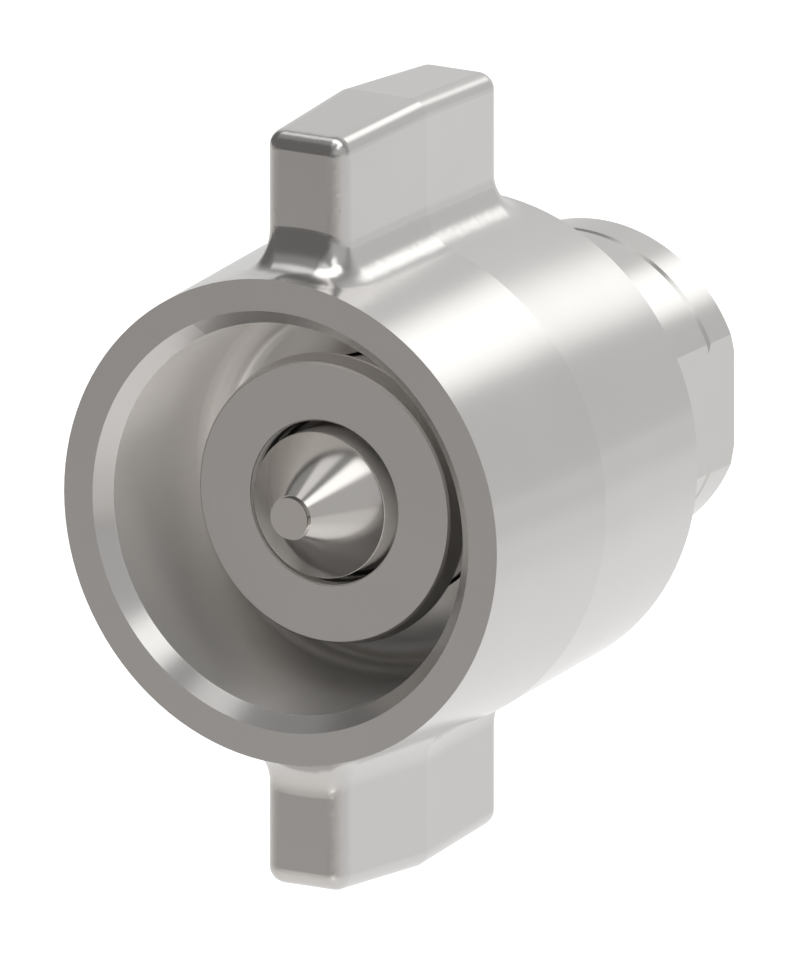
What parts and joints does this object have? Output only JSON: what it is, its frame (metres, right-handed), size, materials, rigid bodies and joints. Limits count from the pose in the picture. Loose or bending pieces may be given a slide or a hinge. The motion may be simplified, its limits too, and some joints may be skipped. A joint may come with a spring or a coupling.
{
  "type": "screw-to-connect dry break coupling half",
  "caption": "Screw-together dry break coupling half: winged union nut round a nose with a spring-loaded poppet valve, body with two spanner flats and a female rear port.",
  "frame": {"origin": "centre of the rear port's mouth, where the flow axis meets the rear end face", "axes": "+Y along the flow axis, out of the rear port; -Y points out of the coupling's open mouth; +Z along one wing of the nut"},
  "size_m": [0.0624, 0.0774, 0.0954],
  "materials": {
    "nut_steel": "fine satin",
    "body_steel": "fine turned",
    "poppet_steel": "polished turned",
    "spring_steel": "drawn wire",
    "seal_rubber": "matt",
    "backup_plastic": "waxy",
    "bearing_bronze": "fine turned"
  },
  "bodies": {
    "body": {"valve_body": "body_steel", "tube_o_ring": "seal_rubber", "tube_backup_ring": "backup_plastic", "end_adapter": "body_steel", "adapter_o_ring": "seal_rubber", "adapter_backup_ring": "backup_plastic", "nose_tube": "body_steel", "nose_seal": "seal_rubber", "nose_backup_ring": "backup_plastic", "thrust_washer": "bearing_bronze", "valve_guide": "body_steel", "guide_bush": "bearing_bronze", "spring_seat": "body_steel", "valve_spring": "spring_steel"},
    "poppet": {"poppet_head": "poppet_steel", "poppet_seal": "seal_rubber", "seal_retainer": "body_steel", "poppet_stem": "body_steel", "stem_clip": "body_steel"},
    "nut_ring": {"nut_wiper": "seal_rubber"},
    "nut": {"wing_nut": "nut_steel"}
  },
  "joints": [
    {"name": "poppet_slide", "type": "slide", "parent": "body", "child": "poppet", "axis": [0, 1, 0], "range_m": [0, 0.008], "stiffness_N_per_m": 2135, "springref_m": -0.01, "deforming": ["valve_spring"]},
    {"name": "nut_slide", "type": "slide", "parent": "body", "child": "nut_ring", "axis": [0, -1, 0], "range_m": [0, 0.01035]},
    {"name": "nut_spin", "type": "hinge", "parent": "nut_ring", "child": "nut", "pos_m": [0, -0.0534, 0], "axis": [0, 1, 0], "continuous": true}
  ]
}
